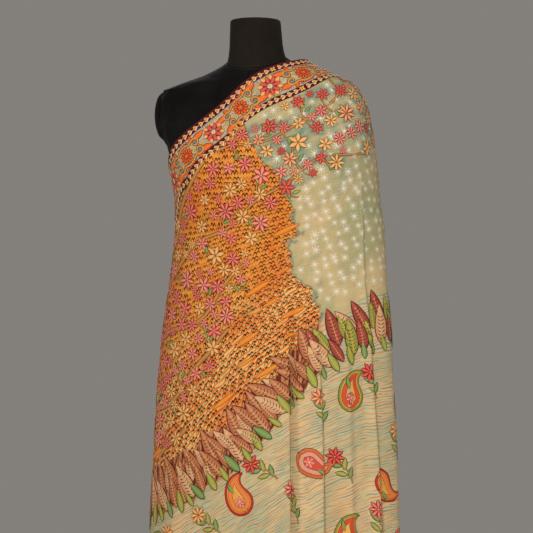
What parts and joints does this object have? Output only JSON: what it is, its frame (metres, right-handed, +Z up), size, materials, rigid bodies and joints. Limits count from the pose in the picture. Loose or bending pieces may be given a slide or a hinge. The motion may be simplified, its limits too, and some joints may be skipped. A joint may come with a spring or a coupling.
{
  "type": "pashmina shawl on a dress form",
  "caption": "Wide bordered shawl wrapped under one arm and over the other shoulder of a limbless dress form on a round stand, hanging in long folds.",
  "frame": {"origin": "centre of the flat underside of the stand's base, on the floor", "axes": "+Z up along the pole, -Y the way the dress form faces, +X towards the wearer's left, the draped shoulder"},
  "size_m": [0.5207, 0.3369, 1.612],
  "materials": {
    "cloth": "fine twill, printed and embroidered, soft sheen",
    "form_cover": "stretch jersey",
    "neck_cover": "stretch jersey",
    "cap_cover": "stretch jersey",
    "plate": "matte",
    "metal": "satin black",
    "base": "satin black"
  },
  "bodies": {
    "root": {"shawl_front": "cloth", "shawl_side_fall": "cloth", "shawl_back_fall": "cloth", "shawl_back_wrap": "cloth", "form_torso": "form_cover", "form_neck": "neck_cover", "form_cap_right": "cap_cover", "form_cap_left": "cap_cover", "form_bottom": "plate", "stand_collar": "metal", "stand_pole": "metal", "stand_base": "base"}
  },
  "joints": []
}
